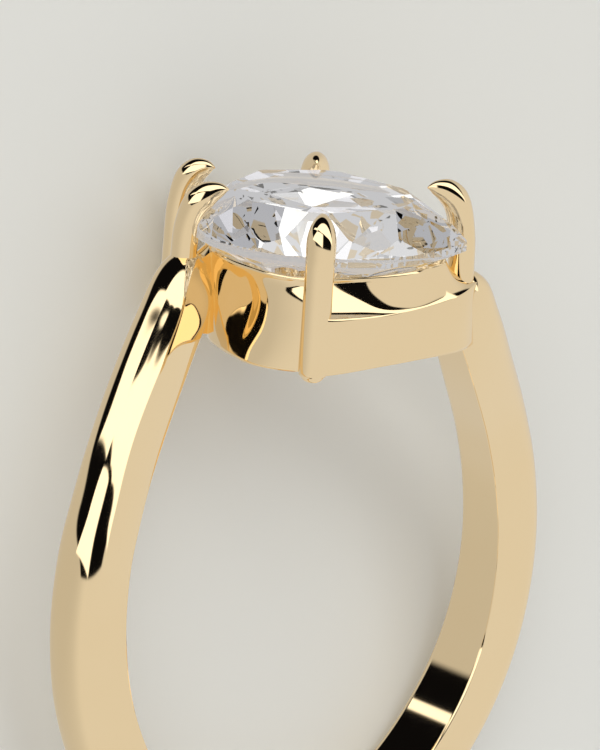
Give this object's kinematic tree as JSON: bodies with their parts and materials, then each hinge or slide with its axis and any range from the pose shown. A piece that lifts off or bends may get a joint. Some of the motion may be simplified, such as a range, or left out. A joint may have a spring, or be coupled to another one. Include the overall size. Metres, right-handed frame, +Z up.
{
  "type": "solitaire ring",
  "caption": "Bypass solitaire engagement ring: one gold band whose ends sweep past each other under a pear-cut stone in claws, lying on its side.",
  "frame": {"origin": "centre of the footprint of the bounding box, on the surface that the ring lies on", "axes": "+Z up from the surface; +Y from the bottom of the band towards the head and stone; +X to the side, towards the shank that runs to the pointed end of the stone"},
  "size_m": [0.0206, 0.0248, 0.0089],
  "materials": {
    "gold": "mirror-polished pale yellow gold",
    "stone": "clear faceted diamond"
  },
  "bodies": {
    "root": {"mounting": "gold", "center_stone": "stone"}
  },
  "joints": []
}
